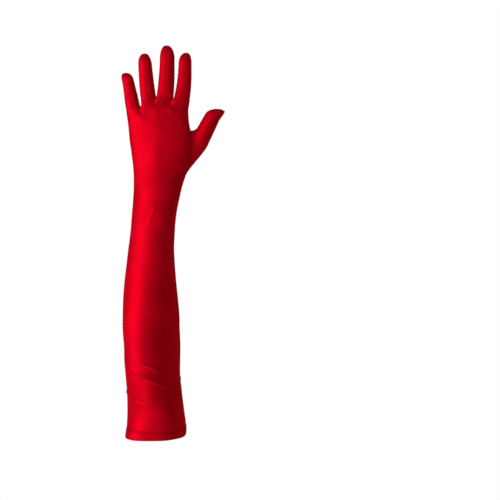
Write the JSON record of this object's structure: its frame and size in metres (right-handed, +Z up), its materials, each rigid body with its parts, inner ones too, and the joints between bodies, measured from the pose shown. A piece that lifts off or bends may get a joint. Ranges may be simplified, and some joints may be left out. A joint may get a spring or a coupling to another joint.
{
  "type": "long dress glove",
  "caption": "Over-elbow dress glove of red stretch satin for a left arm, open at the hem, with fourchettes between the fingers and a set-in thumb",
  "frame": {"origin": "centre of the arm opening, level with the lower edge of the hem; the glove has the form that it has on a raised arm, and is held up by that arm, which is left out", "axes": "+Z runs up the arm to the fingertips, +X points to the thumb's side, and -Y out of the back of the hand"},
  "size_m": [0.1375, 0.0832, 0.5162],
  "materials": {
    "red_satin": "satin"
  },
  "bodies": {
    "root": {"sleeve_back": "red_satin", "sleeve_palm": "red_satin", "hand_back": "red_satin", "hand_palm": "red_satin", "hem": "red_satin", "thumb_back": "red_satin", "thumb_palm": "red_satin", "fourchette_little_ring": "red_satin", "fourchette_ring_middle": "red_satin", "fourchette_middle_index": "red_satin"}
  },
  "joints": []
}
